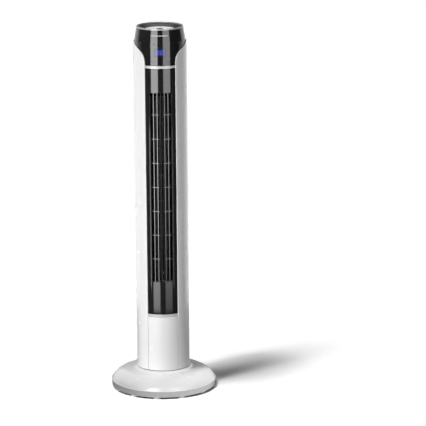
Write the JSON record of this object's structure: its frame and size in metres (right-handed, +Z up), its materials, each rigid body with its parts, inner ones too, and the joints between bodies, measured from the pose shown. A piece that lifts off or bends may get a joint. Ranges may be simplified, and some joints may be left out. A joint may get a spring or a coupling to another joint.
{
  "type": "tower fan",
  "caption": "Tall oscillating tower fan: round weighted base, white side shells, black front grille over a cross-flow impeller, display head with a ringed key dial.",
  "frame": {"origin": "on the floor, under the middle of the round base", "axes": "+Z up, -Y towards the front grille, +X to the right as seen from the front"},
  "size_m": [0.31, 0.31, 1.085],
  "materials": {
    "white_gloss": "gloss",
    "foot_pad": "matte",
    "black_gloss": "high gloss",
    "black_grille": "gloss",
    "black_matte": "matte",
    "bright_trim": "satin",
    "rim_silver": "polished",
    "dial_silver": "satin",
    "dark_button": "gloss",
    "display_blue": "lit from behind, emissive",
    "indicator_blue": "lit from behind, emissive",
    "receiver_dark": "gloss",
    "painted_steel": "matte",
    "steel": "satin",
    "acetal": "satin",
    "rubber_black": "matte",
    "bronze": "sintered",
    "board_green": "lacquered",
    "capacitor_grey": "matte",
    "winding": "varnished"
  },
  "bodies": {
    "base": {"base_cover": "white_gloss", "base_plate": "painted_steel", "feet": "foot_pad", "base_screws": "steel", "cable_gland": "rubber_black", "pivot_spindle": "steel", "spindle_screws": "steel", "slide_ring": "acetal", "thrust_washer": "steel", "sector_gear": "acetal", "spindle_nut": "steel"},
    "tower": {"air_duct": "black_matte", "control_board": "board_green", "control_head": "black_gloss", "dial_plate": "dial_silver", "display_board": "board_green", "display_module": "black_matte", "display_window": "display_blue", "duct_tongue": "black_matte", "duct_top_plate": "black_matte", "front_accent_bar": "bright_trim", "front_bezel": "black_gloss", "handle_recess": "white_gloss", "housing_screws": "steel", "indicator_lenses": "indicator_blue", "left_side_shell": "white_gloss", "louvre_grid": "black_grille", "lower_front_panel": "white_gloss", "lower_trim_strip": "bright_trim", "motor_bearings": "bronze", "motor_grommets": "rubber_black", "motor_lower_bell": "steel", "motor_plate": "painted_steel", "motor_screws": "steel", "motor_stator": "winding", "motor_upper_bell": "steel", "power_board": "board_green", "rear_housing": "white_gloss", "receiver_lens": "receiver_dark", "right_side_shell": "white_gloss", "run_capacitor": "capacitor_grey", "swing_motor": "steel", "swing_motor_screws": "steel", "top_bush": "bronze", "top_rim_ring": "rim_silver", "top_tray": "black_gloss", "turntable": "black_matte", "turntable_screws": "steel", "upper_trim_strip": "bright_trim"},
    "impeller": {"impeller": "black_matte", "impeller_set_screw": "steel", "motor_shaft": "steel", "motor_rotor": "steel"},
    "swing_drive": {"swing_pinion": "acetal", "swing_motor_shaft": "steel"},
    "power_button": {"power_button": "dark_button"},
    "key_speed": {"key_speed": "dial_silver"},
    "key_timer": {"key_timer": "dial_silver"},
    "key_mode": {"key_mode": "dial_silver"},
    "key_swing": {"key_swing": "dial_silver"}
  },
  "joints": [
    {"name": "oscillation", "type": "hinge", "parent": "base", "child": "tower", "pos_m": [0, 0, 0.07], "axis": [0, 0, 1], "range_deg": [-37.5, 37.5]},
    {"name": "swing_drive_spin", "type": "hinge", "parent": "tower", "child": "swing_drive", "pos_m": [0, 0.045, 0.078], "axis": [0, 0, 1], "range_deg": [-150, 150]},
    {"name": "impeller_spin", "type": "hinge", "parent": "tower", "child": "impeller", "pos_m": [0, 0.008, 0.6], "axis": [0, 0, 1], "continuous": true},
    {"name": "power_button_press", "type": "slide", "parent": "tower", "child": "power_button", "axis": [0, 0, -1], "range_m": [0, 0.0012], "stiffness_N_per_m": 300, "springref_m": -0.001},
    {"name": "key_speed_press", "type": "slide", "parent": "tower", "child": "key_speed", "axis": [0, 0, -1], "range_m": [0, 0.0012], "stiffness_N_per_m": 300, "springref_m": -0.001},
    {"name": "key_timer_press", "type": "slide", "parent": "tower", "child": "key_timer", "axis": [0, 0, -1], "range_m": [0, 0.0012], "stiffness_N_per_m": 300, "springref_m": -0.001},
    {"name": "key_mode_press", "type": "slide", "parent": "tower", "child": "key_mode", "axis": [0, 0, -1], "range_m": [0, 0.0012], "stiffness_N_per_m": 300, "springref_m": -0.001},
    {"name": "key_swing_press", "type": "slide", "parent": "tower", "child": "key_swing", "axis": [0, 0, -1], "range_m": [0, 0.0012], "stiffness_N_per_m": 300, "springref_m": -0.001}
  ],
  "couplings": [
    {"joint": "swing_drive_spin", "follows": "oscillation", "ratio": 4}
  ]
}
